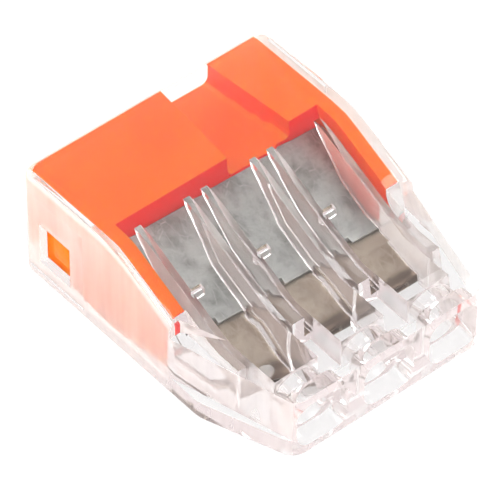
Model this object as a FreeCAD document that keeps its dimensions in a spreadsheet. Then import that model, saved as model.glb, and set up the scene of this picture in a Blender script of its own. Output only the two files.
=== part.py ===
import FreeCAD, Part
import math
import os
import re
import Sketcher

# Push-wire splicing connector for three solid conductors, in millimetres.
# +Z up, the wire entries face -Y, +X runs across the ways.
# The origin is the centre of the underside.

WAYS = 3

SIZES = {
    # clear housing
    "side_margin": 1.35,
    "depth": 16.6,
    "height": 5.9,
    "wall": 0.5,
    "floor": 0.35,
    "roof": 0.4,
    "rear_radius": 0.7,
    "crest_back": 6.34,
    "crest_radius": 6.0,
    "roof_angle": 24.5,
    "nose_width": 10.6,
    "nose_height": 3.35,
    "nose_taper_length": 4.5,
    "nose_radius": 0.9,
    "nose_hollow": 1.5,
    "nose_hollow_side": 4.95,
    "flank_radius": 2.0,
    "shoulder_back": 10.2,
    "shoulder_step": 0.6,
    "shoulder_height": 3.4,
    "flank_foot": 1.0,
    "edge_radius": 0.38,
    "foot_radius": 0.12,
    # ways between the clear guide fins
    "pitch": 3.7,
    "partition": 1.04,
    "fin": 0.34,
    "fin_side": 1.36,
    "fin_rake": 1.3,
    "fin_reach": 0.6,
    "stop_rib": 0.25,
    "stop_rib_length": 0.75,
    "stop_rib_drop": 0.4,
    "stop_rib_back": 9.15,
    "entry_width": 2.8,
    "entry_height": 2.4,
    "entry_depth": 1.0,
    "entry_corner": 0.7,
    "entry_axis": 1.65,
    "throat_radius": 1.1,
    # latch windows in the side walls
    "window_back": 1.2,
    "window_length": 2.1,
    "window_bottom": 0.95,
    "window_height": 2.35,
    "pad_back": 4.3,
    "pad_height": 4.9,
    "pad_relief": 0.08,
    # coloured rear cover
    "fit_gap": 0.05,
    "rim": 0.12,
    "block_depth": 5.0,
    "arm": 0.65,
    "arm_reach": 4.6,
    "latch_length": 1.1,
    "latch_height": 1.2,
    "latch_top": 3.2,
    "latch_depth": 0.4,
    "probe_side": 2.3,
    "probe_width": 2.56,
    "probe_mouth": 3.6,
    "probe_floor": 4.2,
    "probe_ramp": 0.28,
    "probe_corner": 0.35,
    "stop_width": 2.7,
    "stop_height": 3.3,
    "stop_depth": 1.6,
    "ledge": 0.35,
    # contact metal
    "bar_drop": 2.06,
    "bar_sheet": 0.25,
    "bar_run": 4.75,
    "bar_flange": 1.3,
    "pierce_width": 0.45,
    "pierce_length": 0.75,
    "pierce_side": 1.12,
    "pierce_front": 0.85,
    "notch_width": 0.55,
    "notch_length": 0.3,
    "notch_side": 0.6,
    "strip": 0.2,
    "bend_radius": 0.38,
    "bend_ahead": 2.4,
    "bend_clearance": 0.7,
    "tongue_width": 3.1,
    "tongue_overlap": 0.3,
    "contact_gap": 0.03,
    "slot_width": 1.3,
    "slot_height": 0.3,
    "strip_window": 2.0,
    "strip_bridge": 0.55,
}

# Lines of the section that several pieces share, as expressions of the sizes.
REAR = "(depth / 2)"
FRONT = "(-depth / 2)"
SLOPE = "tan(roof_angle)"
CREST = "(depth / 2 - crest_back)"
HALF = f"({WAYS} * pitch / 2 + side_margin)"
CAVITY_HALF = f"({HALF} - wall)"
COVER_HALF = f"({HALF} - wall - fit_gap)"
ARM_INNER = f"({HALF} - wall - fit_gap - arm)"
BAR_HALF = f"({HALF} - wall - 2 * fit_gap - arm)"
BLOCK_FACE = "(depth / 2 - rim - block_depth)"
BLOCK_TOP = "(height - roof - fit_gap)"
ROOF_INSIDE = "(height - roof / cos(roof_angle))"
BAR_REAR = f"({BLOCK_FACE} - fit_gap)"
BAR_LIP = f"({BAR_REAR} - bar_run)"
BAR_TOP = f"(height - bar_drop + ({BAR_REAR} - {CREST}) * {SLOPE})"
LIP_TOP = f"({BAR_TOP} - bar_run * {SLOPE})"
EDGE_Y = f"({BAR_LIP} + bar_sheet * sin(roof_angle))"
EDGE_Z = f"({LIP_TOP} - bar_sheet * cos(roof_angle) - contact_gap)"
STRIP_BOTTOM = "(floor + fit_gap / 2)"
BEND_Y = f"({EDGE_Y} - bend_ahead)"
BEND_Z = f"({STRIP_BOTTOM} + bend_radius)"
RISE = f"({EDGE_Z} - {BEND_Z})"
REACH = f"sqrt(bend_ahead ^ 2 + {RISE} ^ 2)"
TONGUE_ANGLE = f"(atan({RISE} / bend_ahead) - asin(bend_radius / {REACH}))"
TONGUE_LENGTH = f"(sqrt(bend_ahead ^ 2 + {RISE} ^ 2 - bend_radius ^ 2) + tongue_overlap)"
NEST_FRONT = f"({BEND_Y} - bend_radius - bend_clearance)"
NOSE_INSIDE = f"({NEST_FRONT} - nose_hollow)"
SHOULDER = "(depth / 2 - shoulder_back)"
FLANK_OUTER = f"({ARM_INNER} - fit_gap)"

doc = FreeCAD.newDocument("PushWireConnector")
sheet = doc.addObject("Spreadsheet::Sheet", "Sizes")
for row, (alias, size) in enumerate(SIZES.items(), start=1):
    sheet.set(f"A{row}", alias)
    sheet.set(f"B{row}", str(size))
    sheet.setAlias(f"B{row}", alias)
doc.recompute()


def linked(formula):
    """Return the formula with every size name read from the sheet."""
    return re.sub(r"[a-z]\w*", lambda word: f"Sizes.{word[0]}" if word[0] in SIZES else word[0], formula)


def number(formula):
    """Return the present value of a formula."""
    found = sheet.evalExpression(linked(formula))
    return float(getattr(found, "Value", found))


def new_body(label):
    """Add one sub-part, whose label names its file."""
    body = doc.addObject("PartDesign::Body", label)
    body.Label = label
    return body


def origin_feature(body, role):
    """Return the body's own origin plane or axis."""
    return next(item for item in body.Origin.OriginFeatures if item.Role == role)


def new_sketch(body, name, role, offset="0"):
    """Add a sketch on an origin plane, moved along that plane's normal."""
    sketch = body.newObject("Sketcher::SketchObject", name)
    sketch.AttachmentSupport = [(origin_feature(body, role), "")]
    sketch.MapMode = "FlatFace"
    sketch.AttachmentOffset = FreeCAD.Placement(FreeCAD.Vector(0, 0, number(offset)), FreeCAD.Rotation())
    sketch.setExpression("AttachmentOffset.Base.z", linked(offset))
    return sketch


def place_vertex(sketch, geometry, end, point):
    """Hold one end of an edge at a point given as two formulas."""
    for axis, formula in zip(("DistanceX", "DistanceY"), point):
        index = sketch.addConstraint(Sketcher.Constraint(axis, -1, 1, geometry, end, number(formula)))
        sketch.setExpression(f"Constraints[{index}]", linked(formula))


def outline(body, name, role, steps, offset="0"):
    """Draw a closed outline.

    Each step is (x, y), a corner, or (x, y, radius, turn), the start of an arc
    to the next step: turn is 1 when the arc runs anticlockwise and -1 otherwise.
    """
    sketch = new_sketch(body, name, role, offset)
    corners = [FreeCAD.Vector(number(step[0]), number(step[1]), 0) for step in steps]
    edges = []
    for index, step in enumerate(steps):
        start = corners[index]
        finish = corners[(index + 1) % len(steps)]
        if len(step) == 2:
            edge = sketch.addGeometry(Part.LineSegment(start, finish), False)
            edges.append((edge, 1, 2))
            continue
        radius = number(step[2])
        turn = step[3]
        chord = finish - start
        height = math.sqrt(max(radius ** 2 - (chord.Length / 2) ** 2, 0.0))
        side = FreeCAD.Vector(-chord.y, chord.x, 0).normalize() * turn
        centre = start + chord * 0.5 + side * height
        first, last = (start, finish) if turn > 0 else (finish, start)
        angles = [math.atan2(point.y - centre.y, point.x - centre.x) for point in (first, last)]
        circle = Part.Circle(centre, FreeCAD.Vector(0, 0, 1), radius)
        edge = sketch.addGeometry(Part.ArcOfCircle(circle, angles[0], angles[1]), False)
        edges.append((edge, 1, 2) if turn > 0 else (edge, 2, 1))
    for index, (edge, start_end, finish_end) in enumerate(edges):
        following = edges[(index + 1) % len(edges)]
        sketch.addConstraint(
            Sketcher.Constraint("Coincident", edge, finish_end, following[0], following[1])
        )
        place_vertex(sketch, edge, start_end, steps[index])
        if len(steps[index]) > 2:
            held = sketch.addConstraint(Sketcher.Constraint("Radius", edge, number(steps[index][2])))
            sketch.setExpression(f"Constraints[{held}]", linked(steps[index][2]))
    return sketch


def circle_sketch(body, name, role, centre, radius, offset="0"):
    """Draw one circle held at its centre."""
    sketch = new_sketch(body, name, role, offset)
    middle = FreeCAD.Vector(number(centre[0]), number(centre[1]), 0)
    edge = sketch.addGeometry(Part.Circle(middle, FreeCAD.Vector(0, 0, 1), number(radius)), False)
    place_vertex(sketch, edge, 3, centre)
    held = sketch.addConstraint(Sketcher.Constraint("Radius", edge, number(radius)))
    sketch.setExpression(f"Constraints[{held}]", linked(radius))
    return sketch


def rectangle(left, bottom, right, top):
    """Return the four corners of a rectangle."""
    return [(left, bottom), (right, bottom), (right, top), (left, top)]


def rounded(left, bottom, right, top, radius):
    """Return a rectangle with its four corners rounded."""
    return [
        (f"{left} + {radius}", bottom),
        (f"{right} - {radius}", bottom, radius, 1),
        (right, f"{bottom} + {radius}"),
        (right, f"{top} - {radius}", radius, 1),
        (f"{right} - {radius}", top),
        (f"{left} + {radius}", top, radius, 1),
        (left, f"{top} - {radius}"),
        (left, f"{bottom} + {radius}", radius, 1),
    ]


def checked(body, feature, sign):
    """Recompute and make sure that the feature added or removed material."""
    before = 0.0 if body.Shape.isNull() else body.Shape.Volume
    body.Tip = feature
    doc.recompute()
    change = (body.Shape.Volume - before) * sign
    if change <= 0:
        raise RuntimeError(f"{feature.Label} left the volume of {body.Label} as it was")
    return feature


def pad(body, name, sketch, length, both=False, reverse=False):
    """Pad a sketch by a formula's length."""
    feature = body.newObject("PartDesign::Pad", name)
    feature.Profile = sketch
    feature.setExpression("Length", linked(length))
    feature.Midplane = both
    feature.Reversed = reverse
    return checked(body, feature, 1)


def pocket(body, name, sketch, length, both=False, reverse=False):
    """Cut a sketch out by a formula's length."""
    feature = body.newObject("PartDesign::Pocket", name)
    feature.Profile = sketch
    feature.setExpression("Length", linked(length))
    feature.Midplane = both
    feature.Reversed = reverse
    return checked(body, feature, -1)


def repeat(body, feature, length, count, sign):
    """Repeat a feature across the ways, along +X."""
    pattern = body.newObject("PartDesign::LinearPattern", f"{feature.Name}Row")
    pattern.Originals = [feature]
    pattern.Direction = (origin_feature(body, "X_Axis"), [""])
    pattern.setExpression("Length", linked(length))
    pattern.Occurrences = count
    return checked(body, pattern, sign)


def mirror(body, feature, sign):
    """Repeat a feature on the other side of the middle plane."""
    copy = body.newObject("PartDesign::Mirrored", f"{feature.Name}Mirror")
    copy.Originals = [feature]
    copy.MirrorPlane = (origin_feature(body, "YZ_Plane"), [""])
    return checked(body, copy, sign)


def round_edges(body, name, radius, chosen):
    """Fillet every edge of the body that the test picks."""
    base = body.Tip
    names = [f"Edge{index}" for index, edge in enumerate(base.Shape.Edges, start=1) if chosen(edge)]
    fillet = body.newObject("PartDesign::Fillet", name)
    fillet.Base = (base, names)
    fillet.setExpression("Radius", linked(radius))
    body.Tip = fillet
    doc.recompute()
    return fillet


def within(edge, low, high):
    """Tell whether an edge lies inside a box."""
    box = edge.BoundBox
    found = (box.XMin, box.YMin, box.ZMin, box.XMax, box.YMax, box.ZMax)
    near = 0.001
    return all(value >= bound - near for value, bound in zip(found[:3], low)) and all(
        value <= bound + near for value, bound in zip(found[3:], high)
    )


def at_roof(y, below="0"):
    """Return the height of a line parallel to the roof, below its outer face."""
    return f"(height - ({below}) - ({CREST} - ({y})) * {SLOPE})"


WIDE = f"(3 * {HALF})"
FAR = 1000.0


def build_housing():
    """Clear one-piece housing: open at the rear, three wire entries in the nose."""
    body = new_body("housing")
    nose = "(nose_width / 2)"
    taper = "(nose_taper_length - depth / 2)"
    lean = f"atan(({HALF} - {nose}) / nose_taper_length)"
    turn_in = f"(nose_radius * tan(45 deg - {lean} / 2))"
    turn_out = f"(flank_radius * tan({lean} / 2))"
    plan = [
        (f"{HALF} - rear_radius", REAR),
        (f"rear_radius - {HALF}", REAR, "rear_radius", 1),
        (f"-{HALF}", f"{REAR} - rear_radius"),
        (f"-{HALF}", f"{taper} + {turn_out}", "flank_radius", 1),
        (f"-{HALF} + {turn_out} * sin({lean})", f"{taper} - {turn_out} * cos({lean})"),
        (f"-{nose} - {turn_in} * sin({lean})", f"{FRONT} + {turn_in} * cos({lean})", "nose_radius", 1),
        (f"-{nose} + {turn_in}", FRONT),
        (f"{nose} - {turn_in}", FRONT, "nose_radius", 1),
        (f"{nose} + {turn_in} * sin({lean})", f"{FRONT} + {turn_in} * cos({lean})"),
        (f"{HALF} - {turn_out} * sin({lean})", f"{taper} - {turn_out} * cos({lean})", "flank_radius", 1),
        (HALF, f"{taper} + {turn_out}"),
        (HALF, f"{REAR} - rear_radius", "rear_radius", 1),
    ]
    pad(body, "Blank", outline(body, "Plan", "XY_Plane", plan), "height")

    slope_foot = f"({CREST} - (height - nose_height) / {SLOPE})"
    above = [
        (CREST, "height"),
        (slope_foot, "nose_height"),
        (f"{FRONT} - wall", "nose_height"),
        (f"{FRONT} - wall", "height + wall"),
        (CREST, "height + wall"),
    ]
    pocket(body, "RoofSlope", outline(body, "RoofSide", "YZ_Plane", above), WIDE, both=True)
    crest = number(CREST)
    top = number("height")
    round_edges(
        body, "CrestRound", "crest_radius",
        lambda edge: within(edge, (-FAR, crest, top), (FAR, crest, top)),
    )
    floor_edges = (-FAR, -FAR, 0), (FAR, FAR, 0)
    round_edges(body, "FootRound", "foot_radius", lambda edge: within(edge, *floor_edges))

    step = [
        (f"{HALF} + wall", SHOULDER),
        (f"{HALF} - shoulder_step", SHOULDER),
        (f"{nose} - shoulder_step / 2", slope_foot),
        (f"{HALF} + wall", slope_foot),
    ]
    cut = pocket(
        body, "Shoulder", outline(body, "ShoulderPlan", "XY_Plane", step, "shoulder_height"),
        "height", reverse=True,
    )
    mirror(body, cut, -1)
    facet = [
        (f"{HALF} + wall", SHOULDER),
        (HALF, SHOULDER),
        (f"{nose} - nose_radius / 4", f"{FRONT} - wall"),
        (f"{HALF} + wall", f"{FRONT} - wall"),
    ]
    cut = pocket(
        body, "FlankFacet", outline(body, "FacetPlan", "XY_Plane", facet, "flank_foot"),
        "height", reverse=True,
    )
    mirror(body, cut, -1)

    half, rear, shoulder = number(HALF), number(REAR), number(SHOULDER)
    corner = number("rear_radius")
    low = number("shoulder_height + wall / 4")
    round_edges(
        body, "TopRound", "edge_radius",
        lambda edge: within(edge, (-half, shoulder, low), (corner - half, rear, top))
        or within(edge, (half - corner, shoulder, low), (half, rear, top))
        or within(edge, (-half, rear, low), (half, rear, top)),
    )

    arm_end = f"({BLOCK_FACE} - arm_reach - fit_gap)"
    hollow_bend = f"({CREST} + (height - roof - {ROOF_INSIDE}) / {SLOPE})"
    inner_radius = "(rear_radius - wall)"
    mouth_half = f"({CAVITY_HALF} - {inner_radius})"
    plan = [
        (f"-{CAVITY_HALF}", hollow_bend),
        (CAVITY_HALF, hollow_bend),
        (CAVITY_HALF, f"{REAR} - {inner_radius}", inner_radius, 1),
        (mouth_half, REAR),
        (mouth_half, f"{REAR} + wall"),
        (f"-{mouth_half}", f"{REAR} + wall"),
        (f"-{mouth_half}", REAR, inner_radius, 1),
        (f"-{CAVITY_HALF}", f"{REAR} - {inner_radius}"),
    ]
    pocket(
        body, "RearHollow", outline(body, "RearHollowPlan", "XY_Plane", plan, "floor"),
        "(height - roof - floor)", reverse=True,
    )
    hollow = [
        (f"{hollow_bend} + wall", "floor"),
        (f"{hollow_bend} + wall", "height - roof"),
        (hollow_bend, "height - roof"),
        (arm_end, f"{at_roof(arm_end)} - roof / cos(roof_angle)"),
        (arm_end, "floor"),
    ]
    pocket(
        body, "Hollow", outline(body, "HollowSide", "YZ_Plane", hollow),
        f"2 * {CAVITY_HALF}", both=True,
    )
    nest = [
        (arm_end, "floor"),
        (arm_end, f"{at_roof(arm_end)} - roof / cos(roof_angle)"),
        (slope_foot, "nose_height - roof"),
        (NEST_FRONT, "nose_height - roof"),
        (NEST_FRONT, "floor"),
    ]
    pocket(
        body, "Nest", outline(body, "NestSide", "YZ_Plane", nest),
        f"2 * {FLANK_OUTER}", both=True,
    )
    ahead = rectangle(NOSE_INSIDE, "floor", f"{NEST_FRONT} + wall", "nose_height - roof")
    pocket(
        body, "NoseHollow", outline(body, "NoseHollowSide", "YZ_Plane", ahead),
        "2 * nose_hollow_side", both=True,
    )

    window = rectangle(
        f"{REAR} - window_back - window_length", "window_bottom",
        f"{REAR} - window_back", "window_bottom + window_height",
    )
    pocket(body, "Windows", outline(body, "WindowSide", "YZ_Plane", window), WIDE, both=True)
    relief = rectangle(f"{REAR} - pad_back", "foot_radius + wall / 2", f"{REAR} + wall", "pad_height")
    frame = pocket(
        body, "WindowPad", outline(body, "PadSide", "YZ_Plane", relief, f"{HALF} - pad_relief"),
        "wall", reverse=True,
    )
    mirror(body, frame, -1)

    under = "(bar_drop - fit_gap)"
    web_foot = f"{STRIP_BOTTOM} + strip + fit_gap"
    web_rear = f"({BAR_LIP} - fit_gap * 2)"
    web_front = f"({BEND_Y} - bend_radius - fit_gap * 2)"
    over_bend = f"({BEND_Z} + bend_radius / cos({TONGUE_ANGLE}) + fit_gap * 2)"
    web = [
        (f"{NOSE_INSIDE} - wall", web_foot),
        (web_front, web_foot),
        (web_front, over_bend),
        (BEND_Y, over_bend),
        (web_rear, f"{over_bend} + ({web_rear} - {BEND_Y}) * tan({TONGUE_ANGLE})"),
        (web_rear, at_roof(web_rear, under)),
        (f"{CREST} - fin_rake", at_roof(f"({CREST} - fin_rake)", under)),
        (f"{CREST} + fin_reach", "height - roof * 3 / 4"),
        (CREST, "height - roof * 3 / 4"),
        (slope_foot, "nose_height - roof * 3 / 4"),
        (f"{NOSE_INSIDE} - wall", "nose_height - roof * 3 / 4"),
    ]
    for side in (-1, 1):
        name = "LeftFin" if side < 0 else "RightFin"
        offset = f"(-pitch + {side} * fin_side)"
        fin = pad(body, name, outline(body, f"{name}Side", "YZ_Plane", web, offset), "fin", both=True)
        repeat(body, fin, "(2 * pitch)", WAYS, 1)
    core = [
        (f"{NOSE_INSIDE} - wall", web_foot),
        (web_front, web_foot),
        (web_front, "nose_height - roof * 3 / 4"),
        (f"{NOSE_INSIDE} - wall", "nose_height - roof * 3 / 4"),
    ]
    inner = outline(body, "PartitionSide", "YZ_Plane", core, "-pitch / 2")
    partition = pad(body, "Partition", inner, "partition", both=True)
    repeat(body, partition, "pitch", WAYS - 1, 1)

    rib_rear = "(depth / 2 - stop_rib_back)"
    rib_front = f"({rib_rear} - stop_rib)"
    rib = [
        (rib_front, f"{at_roof(rib_front)} - roof"),
        (rib_front, f"{at_roof(rib_front)} - roof - stop_rib_drop"),
        (rib_rear, f"{at_roof(rib_front)} - roof - stop_rib_drop"),
        (rib_rear, f"{at_roof(rib_rear)} - roof"),
    ]
    middle = "(-pitch - fin_side + stop_rib_length / 2)"
    side = outline(body, "StopRibSide", "YZ_Plane", rib, middle)
    stop = pad(body, "StopRib", side, "stop_rib_length", both=True)
    repeat(body, stop, "(2 * pitch)", WAYS, 1)

    mouth = rounded(
        "(-pitch - entry_width / 2)", "(entry_axis - entry_height / 2)",
        "(-pitch + entry_width / 2)", "(entry_axis + entry_height / 2)", "entry_corner",
    )
    face = outline(body, "EntryFace", "XZ_Plane", mouth, "depth / 2")
    entry = pocket(body, "Entry", face, "entry_depth")
    repeat(body, entry, "(2 * pitch)", WAYS, -1)
    throat = circle_sketch(
        body, "ThroatFace", "XZ_Plane", ("-pitch", "entry_axis"), "throat_radius", "depth / 2",
    )
    bore = pocket(body, "Throat", throat, f"({NOSE_INSIDE} - {FRONT} + wall / 2)")
    repeat(body, bore, "(2 * pitch)", WAYS, -1)
    return body


def build_cover():
    """Coloured rear cover: block with a probe trough, two side arms, two latches."""
    body = new_body("rear_cover")
    corner = "(rear_radius - wall - fit_gap)"
    back = f"({REAR} - rim)"
    bottom = "(floor + fit_gap)"
    plan = [
        (f"-{COVER_HALF}", BLOCK_FACE),
        (COVER_HALF, BLOCK_FACE),
        (COVER_HALF, f"{back} - {corner}", corner, 1),
        (f"{COVER_HALF} - {corner}", back),
        (f"{corner} - {COVER_HALF}", back, corner, 1),
        (f"-{COVER_HALF}", f"{back} - {corner}"),
    ]
    pad(body, "Block", outline(body, "BlockPlan", "XY_Plane", plan, bottom), f"{BLOCK_TOP} - {bottom}")

    tip = f"({BLOCK_FACE} - arm_reach)"
    under_roof = "(roof / cos(roof_angle) + fit_gap)"
    bend = f"({CREST} + ({under_roof} - roof - fit_gap) / {SLOPE})"
    side = [
        (f"{BLOCK_FACE} + wall", bottom),
        (f"{BLOCK_FACE} + wall", BLOCK_TOP),
        (bend, BLOCK_TOP),
        (tip, at_roof(tip, under_roof)),
        (tip, bottom),
    ]
    arm = pad(
        body, "Arm", outline(body, "ArmSide", "YZ_Plane", side, f"{COVER_HALF} - arm / 2"),
        "arm", both=True,
    )
    mirror(body, arm, 1)
    under_bar = "(bar_drop + bar_sheet / cos(roof_angle) + fit_gap / 2)"
    rail_end = f"({BAR_REAR} - bar_sheet - fit_gap)"
    rail = [
        (rail_end, at_roof(rail_end, f"{under_bar} + wall")),
        (rail_end, at_roof(rail_end, under_bar)),
        (tip, at_roof(tip, under_bar)),
        (tip, at_roof(tip, f"{under_bar} + wall")),
    ]
    ledge = pad(
        body, "Ledge", outline(body, "LedgeSide", "YZ_Plane", rail, f"{ARM_INNER} - ledge / 2"),
        "ledge + fit_gap", both=True,
    )
    mirror(body, ledge, 1)

    trough = [
        ("probe_side - probe_mouth / 2", f"{BLOCK_FACE} - wall"),
        ("probe_side + probe_mouth / 2", f"{BLOCK_FACE} - wall"),
        ("probe_side + probe_width / 2", f"{REAR} + wall"),
        ("probe_side - probe_width / 2", f"{REAR} + wall"),
    ]
    top = outline(body, "TroughPlan", "XY_Plane", trough, BLOCK_TOP)
    pocket(body, "Trough", top, f"{BLOCK_TOP} - probe_floor - probe_ramp")
    deep = number("probe_floor + probe_ramp")
    side_run = number("block_depth / 2")
    round_edges(
        body, "TroughRound", "probe_corner",
        lambda edge: within(edge, (-FAR, -FAR, deep), (FAR, FAR, deep))
        and edge.BoundBox.YLength > side_run > edge.BoundBox.XLength,
    )

    stop = rectangle(
        "(-pitch - stop_width / 2)", bottom, "(-pitch + stop_width / 2)", f"{bottom} + stop_height",
    )
    recess = pocket(
        body, "WireStop", outline(body, "StopFace", "XZ_Plane", stop, f"-{BLOCK_FACE}"), "stop_depth",
    )
    repeat(body, recess, "(2 * pitch)", WAYS, -1)

    front = f"({REAR} - window_back - window_length + fit_gap)"
    latch = rectangle(front, "latch_top - latch_height", f"{front} + latch_length", "latch_top")
    nub = pad(
        body, "Latch", outline(body, "LatchSide", "YZ_Plane", latch, f"{COVER_HALF} - wall / 2"),
        "latch_depth + wall / 2",
    )
    mirror(body, nub, 1)
    return body


def build_bar():
    """Tinned current bar: sloping sheet, folded rear flange, pierced beside each way."""
    body = new_body("current_bar")
    low = f"({BAR_TOP} - bar_flange)"
    section = [
        (BAR_LIP, LIP_TOP),
        (EDGE_Y, f"{LIP_TOP} - bar_sheet * cos(roof_angle)"),
        (f"{BAR_REAR} - bar_sheet", f"{BAR_TOP} - bar_sheet * {SLOPE} - bar_sheet / cos(roof_angle)"),
        (f"{BAR_REAR} - bar_sheet", low),
        (BAR_REAR, low),
        (BAR_REAR, BAR_TOP),
    ]
    pad(body, "Sheet", outline(body, "SheetSide", "YZ_Plane", section), f"2 * {BAR_HALF}", both=True)
    hole = rectangle(
        "(-pitch - pierce_side - pierce_width / 2)", f"({BAR_LIP} + pierce_front)",
        "(-pitch - pierce_side + pierce_width / 2)", f"({BAR_LIP} + pierce_front + pierce_length)",
    )
    pierced = pocket(body, "Pierce", outline(body, "PiercePlan", "XY_Plane", hole), "height", reverse=True)
    repeat(body, pierced, "(2 * pitch)", WAYS, -1)
    notch = rectangle(
        "(-pitch - notch_side - notch_width / 2)", f"({BAR_LIP} - wall)",
        "(-pitch - notch_side + notch_width / 2)", f"({BAR_LIP} + notch_length)",
    )
    nick = pocket(body, "Notch", outline(body, "NotchPlan", "XY_Plane", notch), "height", reverse=True)
    repeat(body, nick, "(2 * pitch)", WAYS, -1)
    return body


def build_strip():
    """Base leg of the steel spring strip, windowed below each tongue's tip."""
    body = new_body("spring_strip")
    base = rectangle(f"-{BAR_HALF}", f"{BEND_Y} + strip_bridge", BAR_HALF, BAR_REAR)
    pad(body, "Base", outline(body, "BasePlan", "XY_Plane", base, STRIP_BOTTOM), "strip")
    leg = rectangle(
        "(-pitch - tongue_width / 2)", BEND_Y,
        "(-pitch + tongue_width / 2)", f"{BEND_Y} + strip_bridge + strip",
    )
    foot = pad(body, "Foot", outline(body, "FootPlan", "XY_Plane", leg, STRIP_BOTTOM), "strip")
    repeat(body, foot, "(2 * pitch)", WAYS, 1)
    start = f"({BEND_Y} + 2 * strip_bridge)"
    gap = rectangle(
        "(-pitch - tongue_width / 2 - strip / 2)", start,
        "(-pitch + tongue_width / 2 + strip / 2)", f"{start} + strip_window",
    )
    plan = outline(body, "TipWindowPlan", "XY_Plane", gap)
    opening = pocket(body, "TipWindow", plan, "height", reverse=True)
    repeat(body, opening, "(2 * pitch)", WAYS, -1)
    return body


def build_tongue(way):
    """One spring tongue with its front bend, rising to the lip of the current bar."""
    body = new_body(f"clamp_tongue_{way + 1}")
    inner = "(bend_radius - strip)"
    cosine = f"cos({TONGUE_ANGLE})"
    sine = f"sin({TONGUE_ANGLE})"
    section = [
        (f"{BEND_Y} - bend_radius * {sine}", f"{BEND_Z} + bend_radius * {cosine}", "bend_radius", 1),
        (BEND_Y, f"{BEND_Z} - bend_radius"),
        (BEND_Y, f"{BEND_Z} - {inner}", inner, -1),
        (f"{BEND_Y} - {inner} * {sine}", f"{BEND_Z} + {inner} * {cosine}"),
        (
            f"{BEND_Y} - {inner} * {sine} + {TONGUE_LENGTH} * {cosine}",
            f"{BEND_Z} + {inner} * {cosine} + {TONGUE_LENGTH} * {sine}",
        ),
        (
            f"{BEND_Y} - bend_radius * {sine} + {TONGUE_LENGTH} * {cosine}",
            f"{BEND_Z} + bend_radius * {cosine} + {TONGUE_LENGTH} * {sine}",
        ),
    ]
    centre = f"({way - (WAYS - 1) / 2} * pitch)"
    pad(body, "Tongue", outline(body, "TongueSide", "YZ_Plane", section, centre), "tongue_width", both=True)
    window = rounded(
        f"({centre} - slot_width / 2)", f"({BEND_Z} - slot_height / 2)",
        f"({centre} + slot_width / 2)", f"({BEND_Z} + slot_height / 2)", "(slot_height / 3)",
    )
    pocket(
        body, "BendSlot", outline(body, "BendSlotFace", "XZ_Plane", window, f"-{BEND_Y}"),
        "bend_radius", reverse=True,
    )
    return body


bodies = [build_housing(), build_cover(), build_bar(), build_strip()]
bodies += [build_tongue(way) for way in range(WAYS)]

doc.recompute()
for item in doc.Objects:
    if {"Invalid", "Error"} & set(item.State):
        raise RuntimeError(f"{item.Label} failed: {item.State}")
os.makedirs("parts", exist_ok=True)
for body in bodies:
    if body.Shape.isNull() or not body.Shape.isValid():
        raise RuntimeError(f"{body.Label} has no valid shape")
    if len(body.Shape.Solids) != 1:
        raise RuntimeError(f"{body.Label} has {len(body.Shape.Solids)} solids")
    body.Shape.exportStep(f"parts/{body.Label}.step")
    box = body.Shape.BoundBox
    size = f"{box.XLength:.2f} x {box.YLength:.2f} x {box.ZLength:.2f}"
    print(f"{body.Label}: {size}, {body.Shape.Volume:.2f} mm3")
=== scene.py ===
"""Looks of a compact push-wire splicing connector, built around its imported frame.

The clear housing, the orange cover, the contact sheet and the spring's base are dressed from
their own solids: each is merged, given the small edge radii that moulding and stamping leave, and
finished with a procedural material. The spring tongues are made by a Geometry Nodes tree that
rolls a flat slotted blank round its bend.
"""

import logging
import math
from collections.abc import Callable
from dataclasses import dataclass
from enum import Enum
from typing import Any, ClassVar

import bmesh
import bpy
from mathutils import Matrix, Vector

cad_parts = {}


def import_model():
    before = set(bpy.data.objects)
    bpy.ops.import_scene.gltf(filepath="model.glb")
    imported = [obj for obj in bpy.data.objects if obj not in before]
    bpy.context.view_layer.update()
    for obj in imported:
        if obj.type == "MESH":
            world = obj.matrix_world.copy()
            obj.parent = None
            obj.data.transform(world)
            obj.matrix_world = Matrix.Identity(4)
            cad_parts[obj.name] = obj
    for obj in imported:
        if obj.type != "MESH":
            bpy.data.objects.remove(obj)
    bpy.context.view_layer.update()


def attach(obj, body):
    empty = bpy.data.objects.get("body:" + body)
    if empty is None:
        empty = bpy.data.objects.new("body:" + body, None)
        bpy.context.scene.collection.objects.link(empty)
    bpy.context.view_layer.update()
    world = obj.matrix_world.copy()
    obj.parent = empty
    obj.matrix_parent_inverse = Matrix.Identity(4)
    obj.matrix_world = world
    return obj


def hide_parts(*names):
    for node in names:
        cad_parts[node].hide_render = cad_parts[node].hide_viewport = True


LOG = logging.getLogger("connector")
MM = 0.001
MERGE_DISTANCE = 0.002 * MM
ROUND_PROFILE = 0.5
FLAT_ANGLE = math.radians(1.0)
UPRIGHT_SHARE = 0.99
FACING = 0.7
SQUARE_ON = 0.8
NOISE_MIDDLE = 0.5
WAYS = (1, 2, 3)
MIDDLE_WAY = 2
X, Y, Z = range(3)

Colour = tuple[float, float, float]
Span = tuple[float, float]
Rule = Callable[[Vector, Vector], float]
Choice = Callable[[Vector], bool]
WHITE: Colour = (1.0, 1.0, 1.0)


# ---------------------------------------------------------------- node maths


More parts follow.
